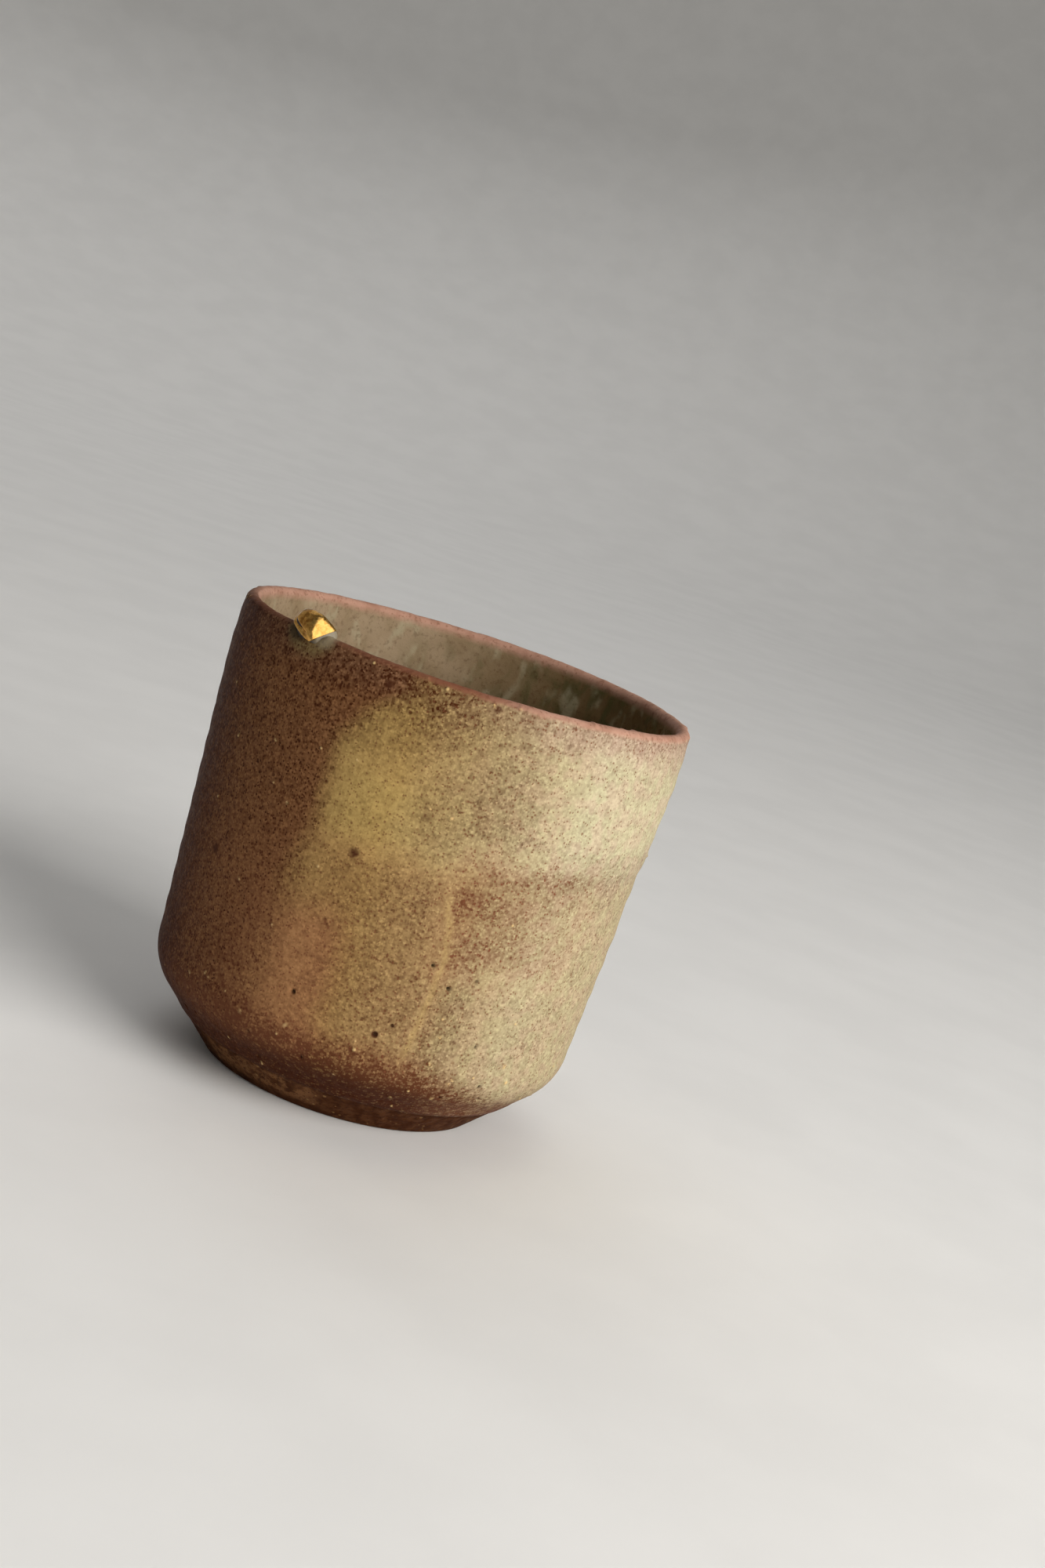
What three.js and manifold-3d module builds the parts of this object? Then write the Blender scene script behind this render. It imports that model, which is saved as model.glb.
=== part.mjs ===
// A thrown stoneware cup. A chip in its rim is filled by a drop of glass, and the top of the drop is gold.
// Lengths are in millimetres, +Z is up, and the origin is the middle of the foot, on the table.
// Angles round the cup are in degrees from the front, which faces -Y, towards +X.
import * as THREE from "three";
import { mergeVertices } from "three/addons/utils/BufferGeometryUtils.js";
import Module from "manifold-3d";

const wasm = await Module();
wasm.setup();

// Outside of the cup
const rimHeight = 85.4; // top of the lip, on average
const shoulderRadius = 41.2; // of the wall, at the shoulder's height
const shoulderHeight = 18;
const widestRadius = 44.15; // just under the lip
const widestDrop = 11; // from the top of the lip down to the widest place
const lipLean = 0.25; // how much narrower the lip is than the widest place
const footRadius = 27.5;
const bevelAngle = 44; // of the trimmed bevel, from the vertical
const cornerRadius = 10; // between bevel and wall
const glazeLine = 6.2; // height where the glaze stops above the bare bevel
const glazeStep = 0.35; // thickness of the glaze's lower edge

// Thickness and foot
const lipThickness = 2.7;
const wallThickness = 3.5; // at the floor
const floorThickness = 5.5;
const innerCornerRadius = 15;
const footRingWidth = 4.6;
const recessDepth = 1.8;
const recessSlant = 1.2; // how far the recess narrows on its way up
const footEdge = 0.7; // rounding of the foot ring's edges

// The lip is turned by hand, so its height wanders a little
const lipWander = 0.16;
const wanderReach = 26; // how far down the wall the wandering shows

// The mended chip: a drop of glass with a gold top that sits astride the lip
const dropAngle = -40.5; // place on the lip
const dropHalfLength = 4.5; // along the lip
const dropHalfWidth = 2.75; // across the lip
const dropTop = 3.4; // above the top of the lip
const dropDepth = 3.3; // below the top of the lip
const goldHem = 0.5; // how far below the top of the lip the gold reaches, over the lip's middle
const goldHemPlace = 2.2; // where it is lowest, along the lip from the middle of the drop
const goldHemRight = 41; // degrees by which the gold's lower edge climbs to the right of there
const goldHemLeft = 16; // degrees by which it climbs to the left
const goldHemLean = 22; // degrees by which it climbs from the outside of the lip to the inside
const collarRise = 0.45; // of the glaze that is heaped on the lip beside the drop
const collarReach = 8; // degrees to each side over which that heap runs out
const seatGap = 0.35; // between cup, glass and gold

const facetsRound = 72; // of the cup
const dropDetail = 7; // steps along each edge of the drop's first icosahedron

// Sizes that follow from those above
const rad = THREE.MathUtils.degToRad;
const lipRadius = widestRadius - lipLean;
const lipMiddle = lipRadius - lipThickness / 2;
const lipCentreHeight = rimHeight - lipThickness / 2;
const widestHeight = rimHeight - widestDrop;
const wallSlope = (widestRadius - shoulderRadius) / (widestHeight - shoulderHeight);
const bevelSlope = Math.tan(rad(bevelAngle));
const floorHeight = recessDepth + floorThickness;

const point = (radius, height) => new THREE.Vector2(radius, height);

/** The arc of the given radius that replaces the corner b of the path a-b-c, as points. */
function roundedCorner(a, b, c, radius, steps) {
  const towardsA = a.clone().sub(b).normalize();
  const towardsC = c.clone().sub(b).normalize();
  const half = Math.acos(towardsA.dot(towardsC)) / 2;
  const bisector = towardsA.clone().add(towardsC).normalize();
  const centre = b.clone().addScaledVector(bisector, radius / Math.sin(half));
  const start = b.clone().addScaledVector(towardsA, radius / Math.tan(half)).sub(centre);
  const end = b.clone().addScaledVector(towardsC, radius / Math.tan(half)).sub(centre);
  const sweep = Math.atan2(start.cross(end), start.dot(end));
  const turned = (i) => start.clone().rotateAround(point(0, 0), (sweep * i) / steps);
  return Array.from({ length: steps + 1 }, (_, i) => turned(i).add(centre));
}

/** The half section under the foot, from the axis out to the edge of the glaze. */
function footSection() {
  const ringInside = footRadius - footRingWidth;
  const middle = point(0, recessDepth);
  const recessTop = point(ringInside - recessSlant, recessDepth);
  const ringIn = point(ringInside, 0);
  const ringOut = point(footRadius, 0);
  const glazeEdge = point(footRadius + glazeLine * bevelSlope, glazeLine);
  return [
    middle,
    ...roundedCorner(middle, recessTop, ringIn, footEdge, 2),
    ...roundedCorner(recessTop, ringIn, ringOut, footEdge / 2, 2),
    ...roundedCorner(ringIn, ringOut, glazeEdge, footEdge, 2),
    glazeEdge,
  ];
}

/** The half section of the glazed outside, from the bevel up to where the lip begins. */
function outsideSection() {
  const glazedFoot = footRadius + glazeStep;
  const glazeStart = point(glazedFoot + glazeLine * bevelSlope, glazeLine + glazeStep / 2);
  const wallFoot = shoulderRadius - shoulderHeight * wallSlope;
  const cornerHeight = (wallFoot - glazedFoot) / (bevelSlope - wallSlope);
  const corner = point(glazedFoot + cornerHeight * bevelSlope, cornerHeight);
  const widest = point(widestRadius, widestHeight);
  const lipStart = point(lipRadius, lipCentreHeight);
  const flare = new THREE.QuadraticBezierCurve(widest, point(widestRadius, (widest.y + lipStart.y) / 2), lipStart);
  const shoulder = roundedCorner(glazeStart, corner, widest, cornerRadius, 6);
  const middleOfWall = shoulder.at(-1).clone().lerp(widest, 0.5);
  return [glazeStart, ...shoulder, middleOfWall, ...flare.getPoints(3).slice(0, -1)];
}

/** The half section from the lip's outer side over its top and down the inside to the axis. */
function lipAndInsideSection() {
  const lip = new THREE.Path().absarc(lipMiddle, lipCentreHeight, lipThickness / 2, 0, Math.PI, false);
  const innerTop = point(lipRadius - lipThickness, lipCentreHeight);
  const innerCorner = point(shoulderRadius - wallThickness, floorHeight);
  const floorMiddle = point(0, floorHeight);
  return [
    ...lip.getPoints(4),
    innerTop.clone().lerp(innerCorner, 0.35),
    ...roundedCorner(innerTop, innerCorner, floorMiddle, innerCornerRadius, 6),
    floorMiddle,
  ];
}

/** How far the lip rises over its average height at an angle in degrees. */
function lipRise(angle) {
  const wander = lipWander * (Math.cos(2 * rad(angle)) + 0.5 * Math.sin(3 * rad(angle)));
  const away = (angle - dropAngle) / collarReach;
  return wander + collarRise * Math.exp(-away * away);
}

/** A closed three.js geometry as a solid that can be cut and joined. */
function solidOf(geometry) {
  geometry.deleteAttribute("normal");
  geometry.deleteAttribute("uv");
  const merged = mergeVertices(geometry, 1e-4);
  const vertProperties = new Float32Array(merged.attributes.position.array);
  const triVerts = new Uint32Array(merged.index.array);
  return new wasm.Manifold(new wasm.Mesh({ numProp: 3, vertProperties, triVerts }));
}

/** The whole cup, with its wandering lip, before the chip is taken out. */
function wholeCup() {
  const section = [...footSection(), ...outsideSection(), ...lipAndInsideSection()];
  const cup = new THREE.LatheGeometry(section, facetsRound).rotateX(Math.PI / 2);
  const places = cup.getAttribute("position");
  for (let i = 0; i < places.count; i++) {
    const height = places.getZ(i);
    const share = THREE.MathUtils.smoothstep(height, rimHeight - wanderReach, rimHeight);
    const angle = THREE.MathUtils.radToDeg(Math.atan2(places.getX(i), -places.getY(i)));
    places.setZ(i, height + share * lipRise(angle));
  }
  return solidOf(cup);
}

/** Puts a form that is made round the top of the lip, as outward, along and up, in its place on the cup. */
function placedOnLip(form) {
  const turn = rad(dropAngle);
  const outward = new THREE.Vector3(Math.sin(turn), -Math.cos(turn), 0);
  const along = new THREE.Vector3(Math.cos(turn), Math.sin(turn), 0);
  const place = new THREE.Matrix4().makeBasis(outward, along, new THREE.Vector3(0, 0, 1));
  place.setPosition(lipMiddle * outward.x, lipMiddle * outward.y, rimHeight);
  return form.applyMatrix4(place);
}

/** The facets of the whole drop: the way each one faces, outward, along and up, and how far out it lies. */
function dropFacets() {
  return [
    [-0.2, 0, 1, 1.03 * dropTop],
    [0.38, 0.83, 0.4, dropHalfWidth],
    [-0.48, 0.31, 0.82, dropTop],
    [0.44, -0.56, 0.71, 0.95 * dropHalfLength],
    [0.65, -0.7, 0.22, 0.92 * dropHalfLength],
    [0.8, 0.1, 0.5, 1.05 * dropHalfWidth],
    [-0.75, -0.1, 0.65, dropHalfWidth],
    [0, 1, -0.1, dropHalfLength],
    [0, -1, -0.1, dropHalfLength],
    [1, -0.2, -0.2, dropHalfWidth],
    [-1, 0, -0.1, dropHalfWidth],
    [0.45, 0.1, -1, 0.9 * dropDepth],
    [-0.45, -0.1, -1, 0.9 * dropDepth],
  ];
}

/** The whole drop as a pebble with soft facets, larger all round by the given clearance. */
function dropForm(clearance) {
  const sharpness = 7;
  const facets = dropFacets().map(([outward, along, up, distance]) => ({
    facing: new THREE.Vector3(outward, along, up).normalize(),
    distance,
  }));
  const form = new THREE.IcosahedronGeometry(1, dropDetail);
  const places = form.getAttribute("position");
  const way = new THREE.Vector3();
  const nearness = (facet) => Math.max(0, way.dot(facet.facing) / facet.distance) ** sharpness;
  for (let i = 0; i < places.count; i++) {
    way.fromBufferAttribute(places, i).normalize();
    const sum = facets.reduce((total, facet) => total + nearness(facet), 0);
    way.multiplyScalar(sum ** (-1 / sharpness) + clearance);
    places.setXYZ(i, way.x, way.y, way.z);
  }
  return solidOf(placedOnLip(form));
}

/** What lies above a leaning wedge that is lowest at the hem's place and climbs towards both ends. */
function aboveHem(lowest) {
  const reach = 4 * dropHalfLength;
  const rightClimb = (reach - goldHemPlace) * Math.tan(rad(goldHemRight));
  const leftClimb = (reach + goldHemPlace) * Math.tan(rad(goldHemLeft));
  const top = rightClimb + leftClimb + reach;
  const outline = new THREE.Shape([
    point(goldHemPlace, lowest),
    point(reach, lowest + rightClimb),
    point(reach, top),
    point(-reach, top),
    point(-reach, lowest + leftClimb),
  ]);
  const wedge = new THREE.ExtrudeGeometry(outline, { depth: 2 * reach, bevelEnabled: false });
  wedge.translate(0, 0, -reach).rotateX(Math.PI / 2).rotateZ(Math.PI / 2).rotateY(rad(goldHemLean));
  return solidOf(placedOnLip(wedge));
}

/** A solid as a named mesh in its own material. */
function piece(name, solid, look) {
  const { vertProperties, triVerts } = solid.getMesh();
  const geometry = new THREE.BufferGeometry();
  geometry.setAttribute("position", new THREE.BufferAttribute(vertProperties, 3));
  geometry.setIndex(new THREE.BufferAttribute(triVerts, 1));
  geometry.computeVertexNormals();
  const mesh = new THREE.Mesh(geometry, new THREE.MeshStandardMaterial(look));
  mesh.name = name;
  return mesh;
}

const drop = dropForm(0);
const hemGap = seatGap / Math.cos(rad(goldHemRight));
const cupSolid = wholeCup().subtract(dropForm(seatGap));
const glassSolid = drop.subtract(aboveHem(-goldHem - hemGap));
const goldSolid = drop.intersect(aboveHem(-goldHem));

const kintsugiCup = new THREE.Group();
kintsugiCup.add(piece("cup_body", cupSolid, { color: 0x8a7244, roughness: 0.6, metalness: 0 }));
kintsugiCup.add(piece("glass_drop", glassSolid, { color: 0xa9aba0, roughness: 0.15, metalness: 0 }));
kintsugiCup.add(piece("gold_cap", goldSolid, { color: 0xd9a441, roughness: 0.25, metalness: 1 }));

export default kintsugiCup;
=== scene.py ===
"""A thrown stoneware cup with a speckled olive and brown glaze.

A chip in its rim is filled by a drop of glass with a gold top. The cup stands on its foot, and the camera is
turned about its own axis, so that the cup leans in the picture.

Lengths of the cup are millimetres here and become metres where a mesh is made. Those of the floor, the lights
and the camera are metres. Angles round the cup are degrees from the front, which faces -Y, towards +X.
"""

import math
from types import SimpleNamespace

import bmesh
import bpy
import numpy as np
from mathutils import Matrix, Vector, kdtree


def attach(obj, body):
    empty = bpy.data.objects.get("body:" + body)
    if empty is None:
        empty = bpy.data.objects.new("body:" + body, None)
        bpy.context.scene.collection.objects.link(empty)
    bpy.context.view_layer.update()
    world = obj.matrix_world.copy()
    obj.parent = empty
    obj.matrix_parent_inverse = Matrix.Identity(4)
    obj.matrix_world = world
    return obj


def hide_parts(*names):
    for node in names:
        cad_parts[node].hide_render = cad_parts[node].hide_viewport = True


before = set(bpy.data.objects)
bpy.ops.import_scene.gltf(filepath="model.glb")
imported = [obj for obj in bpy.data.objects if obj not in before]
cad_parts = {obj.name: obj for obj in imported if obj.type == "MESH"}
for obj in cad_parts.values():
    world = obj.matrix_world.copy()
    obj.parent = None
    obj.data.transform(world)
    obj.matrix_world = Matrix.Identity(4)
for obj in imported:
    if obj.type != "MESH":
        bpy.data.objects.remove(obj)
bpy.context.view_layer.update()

MM = 0.001

# The cup's section, as the frame has it
LIP_HEIGHT = 85.4
SHOULDER_RADIUS, SHOULDER_HEIGHT = 41.2, 18.0
WIDEST_RADIUS, WIDEST_DROP, LIP_LEAN = 44.15, 11.0, 0.25
FOOT_RADIUS, BEVEL_ANGLE, CORNER_RADIUS = 27.5, 44.0, 10.0
GLAZE_LINE, GLAZE_STEP = 6.2, 0.35
LIP_THICKNESS, WALL_THICKNESS, FLOOR_THICKNESS = 2.7, 3.5, 5.5
INNER_CORNER_RADIUS = 15.0
FOOT_RING_WIDTH, RECESS_DEPTH, RECESS_SLANT, FOOT_EDGE = 4.6, 1.8, 1.2, 0.7
LIP_WANDER, WANDER_REACH = 0.16, 26.0

# The drop in the rim, as the frame has it
DROP_ANGLE = -40.5
DROP_HALF_LENGTH, DROP_HALF_WIDTH, DROP_TOP, DROP_DEPTH = 4.5, 2.75, 3.4, 3.3
HEM, HEM_PLACE, HEM_RIGHT, HEM_LEFT, HEM_LEAN = 0.5, 2.2, 41.0, 16.0, 22.0
COLLAR_RISE, COLLAR_REACH = 0.45, 8.0

# Sizes that follow from those above
LIP_RADIUS = WIDEST_RADIUS - LIP_LEAN
LIP_MIDDLE = LIP_RADIUS - LIP_THICKNESS / 2
LIP_CENTRE_HEIGHT = LIP_HEIGHT - LIP_THICKNESS / 2
WIDEST_HEIGHT = LIP_HEIGHT - WIDEST_DROP
WALL_SLOPE = (WIDEST_RADIUS - SHOULDER_RADIUS) / (WIDEST_HEIGHT - SHOULDER_HEIGHT)
BEVEL_SLOPE = math.tan(math.radians(BEVEL_ANGLE))
FLOOR_HEIGHT = RECESS_DEPTH + FLOOR_THICKNESS

# Facets of the cup's mesh: round the outside and lip, and gaps between its rings
OUTER_COLUMNS = 448
UNDER_GAP, BARE_GAP, OUTSIDE_GAP, LIP_GAP, INSIDE_GAP = 1.0, 0.55, 0.62, 0.38, 1.0
CORNER_STEPS, FLARE_POINTS, LIP_POINTS = 16, 13, 17
# Where the mesh is coarser: near the axis under the foot and on the inside floor, and below the rim inside
UNDER_COARSE, UNDER_COARSEST, INSIDE_COARSEST, INSIDE_FINE_DEPTH = 18.0, 8.0, 10.0, 12.0
# How far round a mark the mesh is divided, first and second time, in radii of the mark
DIVIDED_REACHES = (1.9, 1.4)


# Small helpers for shapes and fields


def smooth(value, low, high):
    """0 below low, 1 above high, and a smooth step between them. low may be above high."""
    t = np.clip((value - low) / (high - low), 0.0, 1.0)
    return t * t * (3 - 2 * t)


def turned(angle):
    """An angle in degrees brought to between -180 and 180."""
    return (angle + 180.0) % 360.0 - 180.0


def band(value, low, high, edge):
    """1 between low and high, with soft edges of the given width outside them."""
    return smooth(value, low - edge, low) * smooth(value, high + edge, high)


def patch(angle, height, angles, heights, soft_angle, soft_height):
    """1 inside a field of angles and heights, fading over its soft edges."""
    middle = (angles[0] + angles[1]) / 2
    across = band(turned(angle - middle), angles[0] - middle, angles[1] - middle, soft_angle)
    return across * band(height, heights[0], heights[1], soft_height)


def waves(points, size, seed, count=14):
    """Smooth noise of about -1 to 1: a sum of waves in every direction, each about as long as size."""
    draw = np.random.default_rng(seed)
    total = np.zeros(len(points))
    for _ in range(count):
        way = draw.normal(size=3)
        way *= 2 * math.pi / (size * draw.uniform(0.7, 1.5) * np.linalg.norm(way))
        total += np.sin(points @ way + draw.uniform(0, 2 * math.pi))
    return total * (1.6 / count)


def curve(value, pairs):
    """The height at a value of the broken line through pairs of numbers."""
    return np.interp(value, *zip(*pairs))


def arc_at(a, b, c, radius, steps=8):
    """The arc of the given radius that replaces the corner b of the path a-b-c."""
    a, b, c = map(Vector, (a, b, c))
    to_a, to_c = (a - b).normalized(), (c - b).normalized()
    half = to_a.angle(to_c) / 2
    centre = b + (to_a + to_c).normalized() * radius / math.sin(half)
    start = b + to_a * radius / math.tan(half) - centre
    end = b + to_c * radius / math.tan(half) - centre
    sweep = math.atan2(start.x * end.y - start.y * end.x, start.dot(end))
    return [tuple(centre + Matrix.Rotation(sweep * i / steps, 2) @ start) for i in range(steps + 1)]


def spaced(path, gap):
    """Points along a path about gap apart, with both its ends."""
    path = np.array(path, float)
    along = np.concatenate([[0.0], np.cumsum(np.linalg.norm(np.diff(path, axis=0), axis=1))])
    places = np.linspace(0.0, along[-1], max(2, round(along[-1] / gap) + 1))
    return np.stack([np.interp(places, along, path[:, i]) for i in (0, 1)], axis=1)


def mesh_object(name, points, faces, material):
    """A smooth-shaded mesh from points in millimetres."""
    mesh = bpy.data.meshes.new(name)
    mesh.from_pydata(np.asarray(points) * MM, [], faces)
    mesh.update()
    mesh.shade_smooth()
    mesh.materials.append(material)
    made = bpy.data.objects.new(name, mesh)
    bpy.context.scene.collection.objects.link(made)
    return made


# The cup's section


def foot_path():
    """The bare underside from the axis outwards, then the bare side of the foot up to the glaze."""
    ring_inside = FOOT_RADIUS - FOOT_RING_WIDTH
    middle = (0.0, RECESS_DEPTH)
    recess_top = (ring_inside - RECESS_SLANT, RECESS_DEPTH)
    ring_in, ring_out = (ring_inside, 0.0), (FOOT_RADIUS, 0.0)
    glaze_edge = (FOOT_RADIUS + GLAZE_LINE * BEVEL_SLOPE, GLAZE_LINE)
    under = [middle, *arc_at(middle, recess_top, ring_in, FOOT_EDGE)]
    under += arc_at(recess_top, ring_in, ring_out, FOOT_EDGE / 2)
    return under, [*arc_at(ring_in, ring_out, glaze_edge, FOOT_EDGE), glaze_edge]


def outside_path():
    """The glazed outside, from the foot up to the lip: bevel, corner, wall and a slight lean inwards."""
    glazed_foot = FOOT_RADIUS + GLAZE_STEP
    glaze_start = (glazed_foot + GLAZE_LINE * BEVEL_SLOPE, GLAZE_LINE + GLAZE_STEP / 2)
    wall_foot = SHOULDER_RADIUS - SHOULDER_HEIGHT * WALL_SLOPE
    corner_height = (wall_foot - glazed_foot) / (BEVEL_SLOPE - WALL_SLOPE)
    corner = (glazed_foot + corner_height * BEVEL_SLOPE, corner_height)
    widest = Vector((WIDEST_RADIUS, WIDEST_HEIGHT))
    lip_start = Vector((LIP_RADIUS, LIP_CENTRE_HEIGHT))
    bend = Vector((WIDEST_RADIUS, (WIDEST_HEIGHT + LIP_CENTRE_HEIGHT) / 2))
    lean = []
    for t in np.linspace(0, 1, FLARE_POINTS):
        lean.append(tuple(widest * (1 - t) ** 2 + bend * 2 * t * (1 - t) + lip_start * t * t))
    return [glaze_start, *arc_at(glaze_start, corner, tuple(widest), CORNER_RADIUS, CORNER_STEPS), *lean]


def lip_path():
    turns = np.linspace(0, math.pi, LIP_POINTS)
    half = LIP_THICKNESS / 2
    return [(LIP_MIDDLE + half * math.cos(t), LIP_CENTRE_HEIGHT + half * math.sin(t)) for t in turns]


def inside_path():
    inner_top = (LIP_RADIUS - LIP_THICKNESS, LIP_CENTRE_HEIGHT)
    inner_corner = (SHOULDER_RADIUS - WALL_THICKNESS, FLOOR_HEIGHT)
    floor_middle = (0.0, FLOOR_HEIGHT)
    corner = arc_at(inner_top, inner_corner, floor_middle, INNER_CORNER_RADIUS, CORNER_STEPS)
    return [inner_top, *corner, floor_middle]


def cup_rings():
    """The rings of the cup's mesh as (radius, height, columns), from under the foot to the inside floor."""
    under, bare = foot_path()
    fine, half, quarter, eighth = (OUTER_COLUMNS // share for share in (1, 2, 4, 8))
    rings = []
    for radius, height in spaced(under, UNDER_GAP)[1:-1]:
        columns = eighth if radius < UNDER_COARSEST else quarter if radius < UNDER_COARSE else half
        rings.append((radius, height, columns))
    rings += [(*p, fine) for p in spaced(bare, BARE_GAP)]
    rings += [(*p, fine) for p in spaced(outside_path(), OUTSIDE_GAP)]
    rings += [(*p, fine) for p in spaced(lip_path(), LIP_GAP)[1:]]
    for radius, height in spaced(inside_path(), INSIDE_GAP)[1:-1]:
        below_rim = LIP_HEIGHT - height
        columns = half if below_rim < INSIDE_FINE_DEPTH else quarter if radius > INSIDE_COARSEST else eighth
        rings.append((radius, height, columns))
    return rings


def stitched(rings):
    """Points and faces of nested rings. A ring may have half or twice as many columns as its neighbour."""
    points, starts, faces = [], [], []
    for radius, height, columns in rings:
        angle = np.arange(columns) * 2 * math.pi / columns
        starts.append(sum(len(p) for p in points))
        ring = [radius * np.sin(angle), -radius * np.cos(angle), np.full(columns, height)]
        points.append(np.stack(ring, axis=1))
    for (_, _, n), (_, _, m), a, b in zip(rings, rings[1:], starts, starts[1:]):
        for j in range(min(n, m)):
            k = (j + 1) % min(n, m)
            if n == m:
                faces.append((a + j, a + k, b + k, b + j))
            elif n > m:
                faces.append((a + 2 * j, a + 2 * j + 1, b + j))
                faces.append((a + 2 * j + 1, b + k, b + j))
                faces.append((a + 2 * j + 1, a + 2 * k, b + k))
            else:
                faces.append((a + j, b + 2 * j + 1, b + 2 * j))
                faces.append((a + j, a + k, b + 2 * j + 1))
                faces.append((a + k, b + 2 * k, b + 2 * j + 1))
    count = sum(len(p) for p in points)
    first, last = rings[0], rings[-1]
    points.append(np.array([[0, 0, first[1]], [0, 0, last[1]]]))
    faces += [(count, (j + 1) % first[2], j) for j in range(first[2])]
    faces += [(starts[-1] + j, starts[-1] + (j + 1) % last[2], count + 1) for j in range(last[2])]
    return np.concatenate(points), faces


# Small marks in the clay and glaze: (angle, height, radius, height of the bump or depth of the pit).
# Spots and blotches are in the colour alone and have no last number.

BUMPS = [
    (6.8, 63.3, 0.55, 0.25), (1.5, 63.8, 0.40, 0.18), (29.9, 47.1, 0.45, 0.25), (2.1, 18.1, 0.60, 0.35),
    (21.4, 18.7, 0.40, 0.25), (19.0, 12.7, 0.45, 0.30), (21.8, 24.0, 0.35, 0.20), (46.2, 16.7, 0.70, 0.20),
    (20.6, 27.6, 0.45, 0.20), (-19.5, 47.4, 0.50, 0.25), (-39.9, 38.9, 0.40, 0.20), (-27.1, 67.2, 0.45, 0.25),
    (-54.5, 62.2, 0.45, 0.25), (-37.5, 57.9, 0.35, 0.2), (-32.2, 55.8, 0.35, 0.2), (-40.1, 64.9, 0.35, 0.2),
    (-56.7, 50.1, 0.40, 0.25), (-62.3, 70.6, 0.40, 0.20), (-17.8, 67.7, 0.40, 0.15), (28.3, 15.7, 0.35, 0.20),
    (41.5, 28.6, 0.40, 0.20), (-26.8, 34.2, 0.35, 0.20), (-43.2, 19.7, 0.35, 0.20), (34.7, 17.4, 0.40, 0.20),
]
PITS = [
    (13.8, 36.8, 0.50, 0.45), (19.4, 33.3, 0.50, 0.50), (-16.6, 24.3, 0.55, 0.55), (5.7, 21.8, 0.60, 0.30),
    (37.9, 15.5, 0.50, 0.45), (32.2, 23.3, 0.45, 0.30), (28.7, 12.1, 0.40, 0.30), (40.6, 12.6, 0.40, 0.30),
    (9.0, 24.2, 0.45, 0.20), (26.0, 35.6, 0.50, 0.18),
]
RIM_GRIT = [
    (33.6, 85.2, 0.50, 0.26), (47.5, 85.2, 0.55, 0.26), (14.0, 84.8, 0.55, 0.30), (-3.0, 84.3, 0.55, 0.35),
    (-20.8, 84.4, 0.45, 0.28), (43.3, 85.1, 0.40, 0.20), (8.0, 84.2, 0.35, 0.20), (-7.9, 85.0, 0.35, 0.20),
]
SPOTS = [
    (-12.1, 52.0, 1.00), (-52.0, 41.4, 1.00), (5.7, 21.8, 0.75), (9.2, 24.2, 0.40), (-15.8, 81.7, 0.80),
    (9.2, 83.5, 0.80),
]
BLOTCHES = [
    (28.1, 80.6, 0.75), (1.4, 62.1, 1.20), (-8.7, 59.4, 0.60), (-1.7, 33.6, 0.95), (15.7, 70.1, 0.80),
    (18.6, 64.2, 0.90), (26.3, 66.8, 0.65), (11.9, 67.5, 0.90), (30.1, 62.9, 0.60), (26.0, 35.6, 0.65),
    (7.7, 33.7, 0.70), (6.0, 47.8, 0.70), (5.6, 36.8, 0.70),
]
# The dark inside the pits is painted shade, full in pits at least this deep.
PIT_SHADE_DEPTH = 0.4


def scattered(seed, count, angles, heights, radius, size):
    """Random small marks in a field of the outside."""
    draw = np.random.default_rng(seed)
    rows = []
    for _ in range(count):
        share = draw.uniform(0.6, 1.0)
        rows.append((draw.uniform(*angles), draw.uniform(*heights), radius * share, size * share))
    return rows


HIDDEN_SIDE = (78.0, 282.0)
BUMPS += scattered(3, 34, HIDDEN_SIDE, (8, 82), 0.5, 0.25) + scattered(4, 26, (-75, 75), (4, 20), 0.4, 0.2)
PITS += scattered(5, 14, HIDDEN_SIDE, (12, 70), 0.5, 0.45) + scattered(6, 10, (-75, 75), (3, 19), 0.4, 0.3)
RIM_GRIT += scattered(7, 22, (62, 285), (84.2, 85.2), 0.5, 0.20)
BLOTCHES += [row[:3] for row in scattered(8, 26, HIDDEN_SIDE, (10, 82), 1.2, 1)]


def outside_radius(height):
    path = np.array(outside_path() + lip_path()[: LIP_POINTS // 2 + 1])
    return np.interp(height, path[:, 1], path[:, 0])


def on_outside(angle, height):
    turn, radius = math.radians(angle), float(outside_radius(height))
    return Vector((radius * math.sin(turn), -radius * math.cos(turn), height))


def refined(points, faces, marks):
    """The mesh with its faces divided twice round each mark."""
    mesh = bmesh.new()
    for p in points:
        mesh.verts.new(p)
    mesh.verts.ensure_lookup_table()
    for f in faces:
        mesh.faces.new([mesh.verts[i] for i in f])
    for reach in DIVIDED_REACHES:
        mesh.verts.index_update()
        tree = kdtree.KDTree(len(mesh.verts))
        for v in mesh.verts:
            tree.insert(v.co, v.index)
        tree.balance()
        near = set()
        for angle, height, radius, _ in marks:
            near.update(index for _, index, _ in tree.find_range(on_outside(angle, height), reach * radius))
        edges = [e for e in mesh.edges if e.verts[0].index in near and e.verts[1].index in near]
        bmesh.ops.subdivide_edges(mesh, edges=edges, cuts=1, use_grid_fill=True)
        mesh.verts.index_update()
    mesh.normal_update()
    points = np.array([v.co for v in mesh.verts])
    normals = np.array([v.normal for v in mesh.verts])
    faces = [tuple(v.index for v in f.verts) for f in mesh.faces]
    mesh.free()
    return points, normals, faces


# Relief of the thrown and glazed clay. The ridge, where the thicker glaze of the front ends, has an angle for
# each height.

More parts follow.
